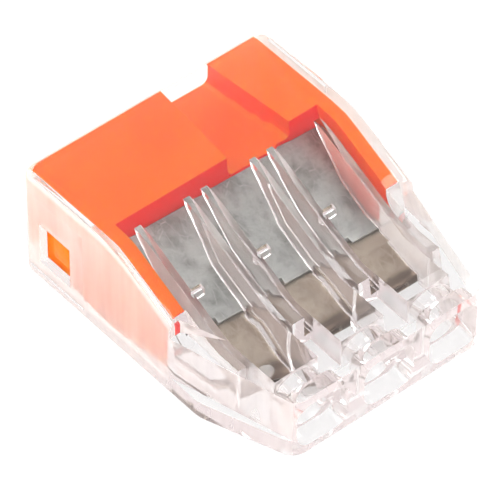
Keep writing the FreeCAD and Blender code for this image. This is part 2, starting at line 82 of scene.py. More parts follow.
class Wire:
    """One node socket that can be used in Python expressions."""

    def __init__(self, graph: "Graph", socket: bpy.types.NodeSocket) -> None:
        """Wrap a socket of a graph."""
        self.graph = graph
        self.socket = socket

    def _math(self, operation: str, *values: "Wire | float") -> "Wire":
        """Add a Math node that works on the given values."""
        return self.graph.node("ShaderNodeMath", {"operation": operation}, dict(enumerate(values)))

    def __add__(self, other: "Wire | float") -> "Wire":
        """Add a value."""
        return self._math("ADD", self, other)

    def __sub__(self, other: "Wire | float") -> "Wire":
        """Take a value away."""
        return self._math("SUBTRACT", self, other)

    def __mul__(self, other: "Wire | float") -> "Wire":
        """Multiply by a value."""
        return self._math("MULTIPLY", self, other)

    def __truediv__(self, other: "Wire | float") -> "Wire":
        """Divide by a value."""
        return self._math("DIVIDE", self, other)

    def __rsub__(self, other: float) -> "Wire":
        """Take this socket away from a number."""
        return self._math("SUBTRACT", other, self)

    __radd__ = __add__
    __rmul__ = __mul__

    def __lt__(self, other: "Wire | float") -> "Wire":
        """Return 1 where the value is under another."""
        return self._math("LESS_THAN", self, other)

    def sine(self) -> "Wire":
        """Return the sine."""
        return self._math("SINE", self)

    def cosine(self) -> "Wire":
        """Return the cosine."""
        return self._math("COSINE", self)

    def size(self) -> "Wire":
        """Return the value without its sign."""
        return self._math("ABSOLUTE", self)

    def at_most(self, other: "Wire | float") -> "Wire":
        """Return the smaller of two values."""
        return self._math("MINIMUM", self, other)

    def at_least(self, other: "Wire | float") -> "Wire":
        """Return the larger of two values."""
        return self._math("MAXIMUM", self, other)

    def clamp(self) -> "Wire":
        """Keep the value between 0 and 1."""
        return self.graph.node("ShaderNodeClamp", {}, {0: self})

    def above(self, low: float, high: float) -> "Wire":
        """Rise smoothly from 0 at low to 1 at high."""
        values = {0: self, 1: low, 2: high, 3: 0.0, 4: 1.0}
        return self.graph.node("ShaderNodeMapRange", {"interpolation_type": "SMOOTHSTEP"}, values)

    def part(self, axis: int) -> "Wire":
        """Return one component of a vector."""
        return self.graph.node("ShaderNodeSeparateXYZ", {}, {0: self}, axis)

    def stretched(self, x: float, y: float, z: float) -> "Wire":
        """Scale a vector's components."""
        settings = {"operation": "MULTIPLY"}
        return self.graph.node("ShaderNodeVectorMath", settings, {0: self, 1: (x, y, z)})


@dataclass(frozen=True)
class Pattern:
    """One noise pattern.

    Attributes:
        scale: how fine the noise is, per metre.
        detail: how many finer layers it has.
        roughness: how strong the finer layers are.
        stretch: factors on the object's axes; a small one draws the noise out along its axis.
    """

    scale: float
    detail: float
    roughness: float = 0.5
    stretch: tuple[float, float, float] = (1.0, 1.0, 1.0)


class Graph:
    """A node tree, filled by one node-making method."""

    def __init__(self, tree: bpy.types.NodeTree) -> None:
        """Take over a tree and empty it."""
        self.tree = tree
        self.tree.nodes.clear()

    def node(
        self, kind: str, settings: dict[str, Any], values: dict[Any, Any], output: int | str = 0,
    ) -> Wire:
        """Add a node.

        Args:
            kind: the node's type name.
            settings: properties set before the sockets.
            values: numbers, colours or wires by the socket's name or index.
            output: the output socket that the result stands for.

        Returns:
            The chosen output socket.
        """
        node = self.tree.nodes.new(kind)
        for key, value in settings.items():
            setattr(node, key, value)
        for key, value in values.items():
            socket = node.inputs[key]
            if isinstance(value, Wire):
                self.tree.links.new(value.socket, socket)
            elif socket.type == "RGBA" and len(value) == 3:
                socket.default_value = (*value, 1.0)
            else:
                socket.default_value = value
        return Wire(self, node.outputs[output])

    def sink(self, kind: str, socket: int | str, wire: Wire) -> None:
        """Link a wire to an output node."""
        self.tree.links.new(wire.socket, self.tree.nodes.new(kind).inputs[socket])

    def place(self) -> Wire:
        """Return the object coordinates, in metres."""
        return self.node("ShaderNodeTexCoord", {}, {}, "Object")

    def mark(self, name: str) -> Wire:
        """Read a number stored with the mesh."""
        return self.node("ShaderNodeAttribute", {"attribute_name": name}, {}, "Fac")

    def noise(self, place: Wire, pattern: Pattern) -> Wire:
        """Return soft noise between 0 and 1."""
        values = {
            "Vector": place.stretched(*pattern.stretch), "Scale": pattern.scale,
            "Detail": pattern.detail, "Roughness": pattern.roughness,
        }
        return self.node("ShaderNodeTexNoise", {}, values)

    def ray(self, kind: str) -> Wire:
        """Return one output of the Light Path node."""
        return self.node("ShaderNodeLightPath", {}, {}, kind)

    def glow(self, kind: str, colour: Colour, strength: float) -> Wire:
        """Return a plain emission or background."""
        return self.node(kind, {}, {"Color": colour, "Strength": strength})

    def blend(self, factor: Wire | float, first: Any, second: Any) -> Wire:
        """Mix two colours."""
        settings = {"data_type": "RGBA", "blend_type": "MIX"}
        return self.node("ShaderNodeMix", settings, {0: factor, 6: first, 7: second}, 2)

    def mix(self, factor: Wire | float, first: Wire, second: Wire) -> Wire:
        """Mix two shaders."""
        return self.node("ShaderNodeMixShader", {}, {0: factor, 1: first, 2: second})

    def bump(self, height: Wire, strength: float, distance: float) -> Wire:
        """Turn a height into a normal."""
        values = {"Height": height, "Strength": strength, "Distance": distance}
        return self.node("ShaderNodeBump", {}, values)

    def principled(self, values: dict[str, Any]) -> Wire:
        """Add the main surface shader."""
        return self.node("ShaderNodeBsdfPrincipled", {}, values)

    def surface(self, shader: Wire) -> None:
        """End the material with a shader."""
        self.sink("ShaderNodeOutputMaterial", "Surface", shader)


# ------------------------------------------------------------------ finishes


class Material:
    """What every finish shares: an empty material and its graph.

    Attributes:
        name: the material's name.
    """

    name: str

    def build(self) -> bpy.types.Material:
        """Make the material."""
        raise NotImplementedError

    def start(self) -> tuple[bpy.types.Material, Graph]:
        """Make the empty material."""
        material = bpy.data.materials.new(self.name)
        material.use_nodes = True
        return material, Graph(material.node_tree)


@dataclass(frozen=True)
class ClearPlastic(Material):
    """Clear moulded polycarbonate with finely textured side walls, a painted edge shade, a painted
    pink-grey on the front walls and a painted glow for deep rays.

    Attributes:
        name: the material's name.
        body: tint of one passage through a face.
        painted_glow_colour: colour of a painted glow that stands in for light that has gone round
            inside the walls.
        painted_glow_strength: brightness of that painted glow.
        milk: colour of the light that the rear side walls scatter.
        painted_pink_reflection: pink-grey colour that the front side walls scatter, a painted
            reflection of the orange with painted shade.
        rim: darker lilac tint on the rounded edges, a painted edge shade.
        rim_share: how much of that painted edge shade a rounded edge takes.
        haze: share of light that a polished face scatters.
        frost: share that a rounded edge scatters.
        side: share that a textured side wall scatters, at its least and most.
        rising: heights between which the side walls' texture grows, and its part in the growth.
        rearing: places along Y between which it grows towards the rear, and its part.
        painted_reflection_fade: places along Y between which the painted pink-grey turns to milk.
        forward: share of the scattered light that goes on through the wall.
        matt: roughness and reflection of the scattering walls.
        ior: refractive index.
        roughness: roughness of a polished face.
        flow: pattern of the melt's flow lines.
        flow_rough: values of the flow between which the roughness grows, and by how much.
        flow_bump: strength and height of the flow lines.
        streak: pattern of the upright streaks in the texture.
        streak_share: how much the streaks change the scattered share.
        turns: reflections inside the walls before the painted glow takes over.
        steps: passages of any kind before the painted glow takes over.
        margin: width of both limits, to each side.
    """

    name: str = "clear_polycarbonate"
    body: Colour = (0.978, 0.968, 0.968)
    painted_glow_colour: Colour = (0.90, 0.79, 0.79)
    painted_glow_strength: float = 0.9
    milk: Colour = (1.0, 0.95, 0.88)
    painted_pink_reflection: Colour = (0.93, 0.80, 0.80)
    rim: Colour = (0.80, 0.78, 0.83)
    rim_share: float = 0.8
    haze: float = 0.006
    frost: float = 0.3
    side: Span = (0.28, 0.62)
    rising: tuple[Span, float] = ((0.2 * MM, 5.2 * MM), 0.55)
    rearing: tuple[Span, float] = ((-3.0 * MM, 8.0 * MM), 0.45)
    painted_reflection_fade: Span = (-3.5 * MM, 1.0 * MM)
    forward: float = 0.5
    matt: Span = (0.8, 0.1)
    ior: float = 1.5
    roughness: float = 0.02
    flow: Pattern = Pattern(420.0, 3.0, stretch=(1.0, 0.35, 1.0))
    flow_rough: tuple[Span, float] = ((0.35, 0.75), 0.03)
    flow_bump: Span = (0.05, 0.02 * MM)
    streak: Pattern = Pattern(900.0, 3.0, stretch=(1.0, 1.0, 0.12))
    streak_share: float = 0.35
    turns: float = 2.5
    steps: float = 8.5
    margin: float = 0.1

    def build(self) -> bpy.types.Material:
        """Make the material."""
        material, graph = self.start()
        place = graph.place()
        clear = self._clear(graph, place)
        milky = self._milky(graph, place)
        hazy = graph.mix(self._scattered_share(graph, place), clear, milky)
        turned = self._past(graph.ray("Glossy Depth"), self.turns)
        walked = self._past(graph.ray("Ray Depth"), self.steps)
        # Painted glow: rays past these depths end on a pale emission instead of going on.
        pale = graph.glow("ShaderNodeEmission", self.painted_glow_colour, self.painted_glow_strength)
        graph.surface(graph.mix((turned + walked).clamp(), hazy, pale))
        return material

    def _clear(self, graph: Graph, place: Wire) -> Wire:
        """Return the polished plastic, which light passes through."""
        flow = graph.noise(place, self.flow)
        limits, growth = self.flow_rough
        return graph.principled({
            # Painted shade: the rounded edges take the darker lilac rim tint.
            "Base Color": graph.blend(graph.mark("edge") * self.rim_share, self.body, self.rim),
            "Roughness": flow.above(*limits) * growth + self.roughness,
            "IOR": self.ior,
            "Transmission Weight": 1.0,
            "Normal": graph.bump(flow, *self.flow_bump),
        })

    def _milky(self, graph: Graph, place: Wire) -> Wire:
        """Return the scattering part of a textured wall."""
        through = graph.node("ShaderNodeBsdfTranslucent", {}, {"Color": self.milk})
        back = graph.principled({
            # Painted reflection and shade: the front walls scatter pink-grey in place of the orange
            # light and shade seen in them.
            "Base Color": graph.blend(place.part(Y).above(*self.painted_reflection_fade), self.painted_pink_reflection, self.milk),
            "Roughness": self.matt[0],
            "Specular IOR Level": self.matt[1],
        })
        return graph.mix(1.0 - self.forward, through, back)

    def _scattered_share(self, graph: Graph, place: Wire) -> Wire:
        """Return the share of light that each place scatters."""
        least, most = self.side
        heights, by_height = self.rising
        depths, by_depth = self.rearing
        grown = place.part(Z).above(*heights) * by_height + place.part(Y).above(*depths) * by_depth
        streaks = (graph.noise(place, self.streak) - NOISE_MIDDLE) * self.streak_share
        wall = grown * (most - least) + least + streaks
        return (graph.mark("skin") * wall + graph.mark("edge") * self.frost + self.haze).clamp()

    def _past(self, depth: Wire, limit: float) -> Wire:
        """Return 1 once a ray's depth is past a limit."""
        return depth.above(limit - self.margin, limit + self.margin)


@dataclass(frozen=True)
class MouldedPlastic(Material):
    """Saturated plastic with painted shade: marked faces are coloured a darker red, as if its faces
    lit each other.

    Attributes:
        name: the material's name.
        body: colour of an open face.
        cloud_and_painted_shade_red: dark red used for the random cloud and as painted shade on
            faces that look into the housing.
        rim: colour of the thin edges.
        rim_share: how much of the rim's colour an edge takes.
        roughness: roughness where the cloud is at its least.
        uneven: how much the cloud adds to the roughness.
        specular: strength of the surface's own reflection.
        glow: share of light that goes on inside the plastic.
        reach: how far red, green and blue light go, against each other.
        depth: how far the light goes, in metres.
        cloud: pattern of the slow change of colour.
        clouding: values of the cloud between which the colour deepens, and by how much.
        grain: pattern of the moulded surface.
        grain_bump: strength and height of the grain.
    """

    name: str
    body: Colour
    cloud_and_painted_shade_red: Colour
    rim: Colour
    rim_share: float = 0.7
    roughness: float = 0.42
    uneven: float = 0.1
    specular: float = 0.12
    glow: float = 0.85
    reach: Colour = (1.0, 0.15, 0.05)
    depth: float = 1.1 * MM
    cloud: Pattern = Pattern(260.0, 3.0)
    clouding: tuple[Span, float] = ((0.35, 0.8), 0.18)
    grain: Pattern = Pattern(9000.0, 2.0)
    grain_bump: Span = (0.12, 0.01 * MM)

    def build(self) -> bpy.types.Material:
        """Make the material."""
        material, graph = self.start()
        place = graph.place()
        cloud = graph.noise(place, self.cloud)
        limits, share = self.clouding
        open_face = graph.blend(cloud.above(*limits) * share, self.body, self.cloud_and_painted_shade_red)
        # Painted shade: faces marked as looking at other orange faces take the dark red.
        painted_shade = graph.blend(graph.mark("painted_shade"), open_face, self.cloud_and_painted_shade_red)
        graph.surface(graph.principled({
            "Base Color": graph.blend(graph.mark("edge") * self.rim_share, painted_shade, self.rim),
            "Roughness": cloud * self.uneven + self.roughness,
            "Specular IOR Level": self.specular,
            "Subsurface Weight": self.glow,
            "Subsurface Radius": self.reach,
            "Subsurface Scale": self.depth,
            "Normal": graph.bump(graph.noise(place, self.grain), *self.grain_bump),
        }))
        return material


@dataclass(frozen=True)
class PaintedBendShade:
    """Dark painted shade across a bend, standing in for the dark slots and shade there.

    Attributes:
        start: where, along Y, the painted shade begins.
        full: where, along Y, it is full.
        colour: its colour.
        share: how much of the metal's colour it covers.
        ragged: how far noise shifts its border, in metres.
    """

    start: float
    full: float
    colour: Colour = (0.085, 0.055, 0.04)
    share: float = 0.85
    ragged: float = 0.5 * MM


@dataclass(frozen=True)
class RolledMetal(Material):
    """Strip metal with rolling lines, stains, scratches and brighter sheared edges.

    Attributes:
        name: the material's name.
        body: colour of the clean face.
        stain: colour of the duller patches.
        sheared: colour of the cut edges and scratches.
        roughness: roughness where both the lines and the stains are at their least.
        tint: the painted shade across a bend, if there is one.
        sheared_share: how much of the sheared colour an edge takes.
        line: pattern of the rolling lines.
        cloud: pattern of the stains.
        fine: pattern of the stains' small specks.
        scratches: how fine the scratches are, per metre, and their stretch on the axes.
        scratch_width: distances from a scratch's middle between which it fades.
        scratch_share: how bright the scratches are.
        scratched_where: values of the cloud between which scratches appear.
        stained_by: values of the cloud between which stains grow, and their share.
        specked_by: the same for the small specks.
        lined_by: share of the rolling lines in the stains.
        rough_by: how much the lines and the stains add to the roughness.
        scratch_depth: depth of a scratch against a rolling line.
        relief: strength and height of the surface's relief.
    """

    name: str
    body: Colour
    stain: Colour
    sheared: Colour
    roughness: float
    tint: PaintedBendShade | None = None
    sheared_share: float = 0.6
    line: Pattern = Pattern(9000.0, 3.0, stretch=(0.04, 1.0, 1.0))
    cloud: Pattern = Pattern(620.0, 5.0, 0.62)
    fine: Pattern = Pattern(2600.0, 4.0, 0.7)
    scratches: tuple[float, tuple[float, float, float]] = (1900.0, (1.0, 0.22, 1.0))
    scratch_width: Span = (0.004, 0.03)
    scratch_share: float = 0.4
    scratched_where: Span = (0.45, 0.6)
    stained_by: tuple[Span, float] = ((0.42, 0.68), 0.75)
    specked_by: tuple[Span, float] = ((0.45, 0.7), 0.3)
    lined_by: float = 0.15
    rough_by: Span = (0.14, 0.22)
    scratch_depth: float = 0.6
    relief: Span = (0.35, 0.012 * MM)

    def build(self) -> bpy.types.Material:
        """Make the material."""
        material, graph = self.start()
        place = graph.place()
        line = graph.noise(place, self.line)
        cloud = graph.noise(place, self.cloud)
        fine = graph.noise(place, self.fine)
        cut = self._scratched(graph, place)
        stains, stain_share = self.stained_by
        specks, speck_share = self.specked_by
        stained = cloud.above(*stains) * stain_share + fine.above(*specks) * speck_share
        colour = graph.blend((stained + line * self.lined_by).clamp(), self.body, self.stain)
        bright = cut * cloud.above(*self.scratched_where) * self.scratch_share
        colour = graph.blend(bright, colour, self.sheared)
        # Painted shade: a dark band across the bend and the strip's front.
        if self.tint:
            border = place.part(Y) + (fine - NOISE_MIDDLE) * self.tint.ragged
            painted_shade_band = (1.0 - border.above(self.tint.full, self.tint.start)) * self.tint.share
            colour = graph.blend(painted_shade_band, colour, self.tint.colour)
        edge = graph.mark("edge") * self.sheared_share
        graph.surface(graph.principled({
            "Base Color": graph.blend(edge, colour, self.sheared),
            "Metallic": 1.0,
            "Roughness": line * self.rough_by[0] + cloud * self.rough_by[1] + self.roughness,
            "Normal": graph.bump(line + cut * self.scratch_depth + cloud, *self.relief),
        }))
        return material

    def _scratched(self, graph: Graph, place: Wire) -> Wire:
        """Return 1 along the scratches."""
        scale, stretch = self.scratches
        distance = graph.node(
            "ShaderNodeTexVoronoi", {"feature": "DISTANCE_TO_EDGE"},
            {"Vector": place.stretched(*stretch), "Scale": scale, "Randomness": 1.0},
        )
        return 1.0 - distance.above(*self.scratch_width)


class Finish(Enum):
    """The finishes of the connector's pieces, by the record's slot."""

    CLEAR = "clear_plastic"
    ORANGE = "orange_plastic"
    TINNED = "tinned_copper"
    SPRING = "spring_steel"


class Palette:
    """Builds each finish once."""

    RECIPES: ClassVar[dict[Finish, Material]] = {
        Finish.CLEAR: ClearPlastic(),
        # The orange's dark red is also its painted shade on the marked faces.
        Finish.ORANGE: MouldedPlastic(
            "orange_cover", body=(1.0, 0.165, 0.0), cloud_and_painted_shade_red=(1.0, 0.004, 0.0), rim=(1.0, 0.25, 0.01),
        ),
        Finish.TINNED: RolledMetal(
            "tinned_sheet", body=(0.37, 0.375, 0.36), stain=(0.185, 0.19, 0.18),
            sheared=(0.6, 0.59, 0.57), roughness=0.36,
        ),
        # The spring steel carries a painted shade across its bend.
        Finish.SPRING: RolledMetal(
            "spring_strip_steel", body=(0.44, 0.37, 0.30), stain=(0.27, 0.215, 0.165),
            sheared=(0.60, 0.52, 0.43), roughness=0.24, tint=PaintedBendShade(-3.55 * MM, -3.95 * MM),
        ),
    }

    def __init__(self) -> None:
        """Make every material."""
        self.made = {finish: recipe.build() for finish, recipe in self.RECIPES.items()}

    def dress(self, piece: bpy.types.Object, finish: Finish) -> None:
        """Give a piece one finish."""
        piece.data.materials.clear()
        piece.data.materials.append(self.made[finish])


# ------------------------------------------------------------------- meshes


def evaluated_mesh(piece: bpy.types.Object) -> bpy.types.Mesh:
    """Return the mesh that a piece has with its modifiers applied."""
    shaped = piece.evaluated_get(bpy.context.evaluated_depsgraph_get())
    return bpy.data.meshes.new_from_object(shaped)


def settle(piece: bpy.types.Object) -> None:
    """Turn a piece's modifiers into plain faces."""
    shaped = evaluated_mesh(piece)
    piece.modifiers.clear()
    old, piece.data = piece.data, shaped
    bpy.data.meshes.remove(old)


def link(name: str, mesh: bpy.types.Mesh) -> bpy.types.Object:
    """Add an object at the origin."""
    piece = bpy.data.objects.new(name, mesh)
    bpy.context.scene.collection.objects.link(piece)
    return piece


def mark_faces(piece: bpy.types.Object, name: str, rule: Rule) -> None:
    """Store a number with each face, for the materials to read.

    Args:
        piece: the object whose faces are marked.
        name: the mark's name.
        rule: gives the number for a face's centre and normal.
    """
    faces = piece.data.polygons
    layer = piece.data.attributes.new(name, "FLOAT", "FACE")
    layer.data.foreach_set("value", [rule(face.center, face.normal) for face in faces])


@dataclass(frozen=True)
class SoftEdges:
    """The small radii that moulding or stamping leaves along sharp edges.

    Attributes:
        radius: the edge radius in metres.
        segments: the faces across each rounded edge.
        angle: edges sharper than this many degrees are rounded.
        crease: edges that are still sharper than this many degrees stay hard to the eye.
    """

    radius: float
    segments: int = 2
    angle: float = 28.0
    crease: float = 40.0

    def apply(self, piece: bpy.types.Object) -> None:
        """Round the edges and store them as the "edge" mark."""
        mesh = piece.data
        mesh.materials.clear()
        mesh.materials.append(None)
        mesh.materials.append(None)
        bevel = piece.modifiers.new("soft_edges", "BEVEL")
        bevel.width = self.radius
        bevel.segments = self.segments
        bevel.limit_method = "ANGLE"
        bevel.angle_limit = math.radians(self.angle)
        bevel.use_clamp_overlap = True
        bevel.material = 1
        settle(piece)
        faces = piece.data.polygons
        layer = piece.data.attributes.new("edge", "FLOAT", "FACE")
        layer.data.foreach_set("value", [float(face.material_index) for face in faces])
        faces.foreach_set("material_index", [0] * len(faces))
        piece.data.shade_smooth()
        piece.data.set_sharp_from_angle(angle=math.radians(self.crease))


def merged_copy(node: bpy.types.Object, name: str) -> bpy.types.Object:
    """Copy a CAD node with its corners merged and its flat faces whole."""
    mesh = node.data.copy()
    form = bmesh.new()
    form.from_mesh(mesh)
    bmesh.ops.remove_doubles(form, verts=form.verts, dist=MERGE_DISTANCE)
    bmesh.ops.dissolve_limit(
        form, angle_limit=FLAT_ANGLE, use_dissolve_boundaries=False,
        verts=form.verts, edges=form.edges, delimit={"NORMAL"},
    )
    form.to_mesh(mesh)
    form.free()
    return link(name, mesh)


def round_upright(piece: bpy.types.Object, near: Choice, radius: float, segments: int) -> None:
    """Round some of a piece's upright edges.

    Args:
        piece: the object to change.
        near: tells from an edge's middle whether to round it.
        radius: the new radius in metres.
        segments: the faces across each rounded edge.
    """
    form = bmesh.new()
    form.from_mesh(piece.data)
    chosen = []
    for edge in form.edges:
        first, second = (vertex.co for vertex in edge.verts)
        run = second - first
        if abs(run.z) > UPRIGHT_SHARE * run.length and near((first + second) / 2):
            chosen.append(edge)
    bmesh.ops.bevel(
        form, geom=chosen, offset=radius, segments=segments, affect="EDGES",
        profile=ROUND_PROFILE, clamp_overlap=True,
    )
    form.to_mesh(piece.data)
    form.free()


# ------------------------------------------------------------------- pieces


@dataclass
class Piece:
    """A visible piece that stands for one CAD node.

    Attributes:
        node: the CAD node's name.
        name: the visible piece's name.
        finish: the material that it gets.
        body: the moving body that it rides on.
    """

    node: str
    name: str
    finish: Finish
    body: str = "root"

    def shape(self, node: bpy.types.Object, material: bpy.types.Material) -> bpy.types.Object:
        """Make the piece's plain mesh object.

        Args:
            node: the CAD node's object, which stays as it is.
            material: the piece's material.

        Returns:
            The new object, at the origin.
        """
        raise NotImplementedError

    def build(self, palette: Palette) -> bpy.types.Object:
        """Build, dress and attach the piece.

        Args:
            palette: the finishes.

        Returns:
            The finished object, at the origin.
        """
        piece = self.shape(bpy.data.objects[self.node], palette.made[self.finish])
        palette.dress(piece, self.finish)
        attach(piece, self.body)
        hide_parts(self.node)
        LOG.info("%s: %d faces", self.name, len(piece.data.polygons))
        return piece


@dataclass
class ClearHousing(Piece):
    """Clear shell with guide fins, entries and textured side walls.

    Attributes:
        edge: radius and segments of the moulded edges.
        polished_half: half of the width inside which no face counts as an outer side.
        rim_start: where, along Y, the rear rim begins.
        nose_start: where, along Y, the nose ends.
        fin_half: half of the width over which the guide fins stand.
        side_from: how far sideways an outer side faces at least, in the rim and elsewhere.
        slope_from: how far back and up a sloping face of the rim faces at least.
        textures: how textured the sides, the rim, the nose and the fins are.
    """

    node: str = "housing"
    name: str = "clear_housing"
    finish: Finish = Finish.CLEAR
    edge: SoftEdges = SoftEdges(0.06 * MM, 3)
    polished_half: float = 4.9 * MM
    rim_start: float = 7.6 * MM
    nose_start: float = -4.4 * MM
    fin_half: float = 5.4 * MM
    side_from: Span = (0.3, 0.6)
    slope_from: float = 0.25
    textures: tuple[float, float, float, float] = (1.0, 0.9, 0.6, 0.3)

    def shape(self, node: bpy.types.Object, material: bpy.types.Material) -> bpy.types.Object:
        """Soften the shell and mark the texture of its outer sides."""
        piece = merged_copy(node, self.name)
        self.edge.apply(piece)
        mark_faces(piece, "skin", self.texture)
        return piece

    def texture(self, middle: Vector, normal: Vector) -> float:
        """Return how textured a face is, from 0 to 1.

        Args:
            middle: the face's centre.
            normal: its outward direction, which tells sides, tops and slopes apart.

        Returns:
            The share of the full texture: most on the outer sides, less on the rim, nose and fins.
        """
        side, rim, nose, fin = self.textures
        sideways, in_rim = abs(normal.x), middle.y > self.rim_start
        outward = middle.x * normal.x > 0.0 and abs(middle.x) > self.polished_half
        if outward and sideways > self.side_from[0 if in_rim else 1]:
            return side
        if in_rim and normal.y > self.slope_from and normal.z > self.slope_from:
            return rim
        if middle.y < self.nose_start:
            return nose if abs(normal.z) < SQUARE_ON else 0.0
        return fin if sideways > SQUARE_ON and abs(middle.x) < self.fin_half else 0.0


@dataclass
class OrangeCover(Piece):
    """Orange rear block with its probe trough, side arms and latches.

    Attributes:
        edge: radius and segments of the moulded edges.
        corner: radius of the upright rear corners.
        corner_segments: the faces across each of them.
        corner_place: half width and place along Y past which an upright edge is a rear corner.
        trough_sides: where, along X, the probe trough begins and ends.
        painted_shade: how much painted shade the front, the sides between the arms and the trough's
            floor take.
    """

    node: str = "rear_cover"
    name: str = "orange_cover_body"
    finish: Finish = Finish.ORANGE
    edge: SoftEdges = SoftEdges(0.06 * MM)
    corner: float = 0.6 * MM
    corner_segments: int = 6
    corner_place: Span = (6.0 * MM, 7.8 * MM)
    trough_sides: Span = (1.1 * MM, 3.5 * MM)
    painted_shade: tuple[float, float, float] = (1.0, 0.55, 0.25)

    def shape(self, node: bpy.types.Object, material: bpy.types.Material) -> bpy.types.Object:
        """Round the rear corners, soften the edges and mark the faces that take painted shade."""
        piece = merged_copy(node, self.name)
        round_upright(piece, self.is_rear_corner, self.corner, self.corner_segments)
        self.edge.apply(piece)
        mark_faces(piece, "painted_shade", self.painted_shade_share)
        return piece

    def is_rear_corner(self, middle: Vector) -> bool:
        """Tell whether an upright edge with this middle stands at a rear corner."""
        half, rear = self.corner_place
        return abs(middle.x) > half and middle.y > rear

    def painted_shade_share(self, middle: Vector, normal: Vector) -> float:
        """Return how much painted shade a face takes, from 0 to 1.

        Args:
            middle: the face's centre.
            normal: its outward direction, which tells fronts, sides and tops apart.

        Returns:
            The share of the painted dark-red shade that the face takes.
        """
        front, inner_side, trough_floor = self.painted_shade
        if normal.y < -FACING:
            return front
        if abs(middle.x) < self.corner_place[0] and abs(normal.x) > FACING:
            return inner_side
        left, right = self.trough_sides
        return trough_floor if normal.z > SQUARE_ON and left < middle.x < right else 0.0


@dataclass
class StampedSheet(Piece):
    """Sheet metal piece with the edges that shearing leaves.

    Attributes:
        edge: radius and segments of the sheared edges.
    """

    edge: SoftEdges = SoftEdges(0.03 * MM)

    def shape(self, node: bpy.types.Object, material: bpy.types.Material) -> bpy.types.Object:
        """Soften the stamped sheet."""
        piece = merged_copy(node, self.name)
        self.edge.apply(piece)
        return piece


class BentBlank:
    """Geometry Nodes tree that rolls a flat slotted blank round a bend.

    The blank lies flat with its length along Y and its thickness under Z = 0. Rows up to the bend's
    length wrap round the bend's axis, and the others run straight on from its end.

    Attributes:
        INPUTS: kind of each of the tree's inputs, by name.
        RIPPLE_SCALE: how fine the blank's waviness is, per metre.
        MIDDLE_TURN: how far round the bend the slot's middle lies, in radians.
    """

    INPUTS: ClassVar[dict[str, str]] = {
        "Centre": "Float", "Width": "Float", "Thickness": "Float", "Bend Radius": "Float",
        "Bend Y": "Float", "Bend Z": "Float", "Turn": "Float", "Blade": "Float",
        "Slot Width": "Float", "Slot Height": "Float", "Waviness": "Float", "Columns": "Int",
        "Rows": "Int", "Seed": "Int", "Finish": "Material",
    }
    RIPPLE_SCALE: ClassVar[float] = 700.0
    MIDDLE_TURN: ClassVar[float] = math.pi / 2.0

    def __init__(self) -> None:
        """Build the tree."""
        tree = bpy.data.node_groups.new("bent_blank", "GeometryNodeTree")
        add = tree.interface.new_socket
        self.sockets = {
            name: add(name=name, in_out="INPUT", socket_type=f"NodeSocket{kind}").identifier
            for name, kind in self.INPUTS.items()
        }
        add(name="Blank", in_out="OUTPUT", socket_type="NodeSocketGeometry")
        self.graph = Graph(tree)
        given = tree.nodes.new("NodeGroupInput")
        self.wires = {name: Wire(self.graph, given.outputs[name]) for name in self.INPUTS}
        arc = self.wires["Bend Radius"] * self.wires["Turn"]
        length = arc + self.wires["Blade"]
        bent = self._bend(self._flat(length), arc, length)
        coat = {"Geometry": bent, "Material": self.wires["Finish"]}
        coated = self.graph.node("GeometryNodeSetMaterial", {}, coat)
        real = self.graph.node("GeometryNodeRealizeInstances", {}, {"Geometry": coated})
        self.graph.sink("NodeGroupOutput", 0, real)

    def _flat(self, length: Wire) -> Wire:
        """Make the flat slotted blank with its thickness."""
        graph, wires = self.graph, self.wires
        sheet = graph.node(
            "GeometryNodeMeshGrid", {},
            {
                "Size X": wires["Width"], "Size Y": length,
                "Vertices X": wires["Columns"], "Vertices Y": wires["Rows"],
            },
        )
        place = graph.node("GeometryNodeInputPosition", {}, {})
        along = place.part(Y) + length / 2.0 - wires["Bend Radius"] * self.MIDDLE_TURN
        across = place.part(X).size() < wires["Slot Width"] / 2.0
        slot = across * (along.size() < wires["Slot Height"] / 2.0)
        cut = {"Geometry": sheet, "Selection": slot}
        pierced = graph.node("GeometryNodeDeleteGeometry", {"domain": "FACE"}, cut)
        lower = graph.node(
            "GeometryNodeExtrudeMesh", {},
            {"Mesh": pierced, "Offset Scale": wires["Thickness"] * -1.0, "Individual": False},
        )
        turned = graph.node("GeometryNodeFlipFaces", {}, {"Mesh": lower})
        joined = graph.tree.nodes.new("GeometryNodeJoinGeometry")
        graph.tree.links.new(pierced.socket, joined.inputs[0])
        graph.tree.links.new(turned.socket, joined.inputs[0])
        whole = {"Geometry": Wire(graph, joined.outputs[0]), "Distance": MERGE_DISTANCE}
        return graph.node("GeometryNodeMergeByDistance", {}, whole)

    def _bend(self, flat: Wire, arc: Wire, length: Wire) -> Wire:
        """Roll the blank round the bend and set it in its way."""
        graph, wires = self.graph, self.wires
        place = graph.node("GeometryNodeInputPosition", {}, {})
        along = place.part(Y) + length / 2.0
        ripple = graph.node(
            "ShaderNodeTexNoise", {"noise_dimensions": "4D"},
            {"Vector": place, "W": wires["Seed"], "Scale": self.RIPPLE_SCALE},
        )
        wave = (ripple - NOISE_MIDDLE) * wires["Waviness"]
        radius = wires["Bend Radius"] + place.part(Z) + wave
        turn = along.at_most(arc) / wires["Bend Radius"]
        past = (along - arc).at_least(0.0)
        rolled = graph.node(
            "ShaderNodeCombineXYZ", {},
            {
                X: place.part(X) + wires["Centre"],
                Y: wires["Bend Y"] - radius * turn.sine() - past * turn.cosine(),
                Z: wires["Bend Z"] - radius * turn.cosine() + past * turn.sine(),
            },
        )
        return graph.node("GeometryNodeSetPosition", {}, {"Geometry": flat, "Position": rolled})

    def make(self, name: str, values: dict[str, Any]) -> bpy.types.Object:
        """Make one bent piece.

        Args:
            name: the new piece's name.
            values: the tree's inputs by name.

        Returns:
            The new object with a plain mesh.
        """
        piece = link(name, bpy.data.meshes.new(name))
        maker = piece.modifiers.new("bent_blank", "NODES")
        maker.node_group = self.graph.tree
        for key, value in values.items():
            maker[self.sockets[key]] = value
        settle(piece)
        return piece


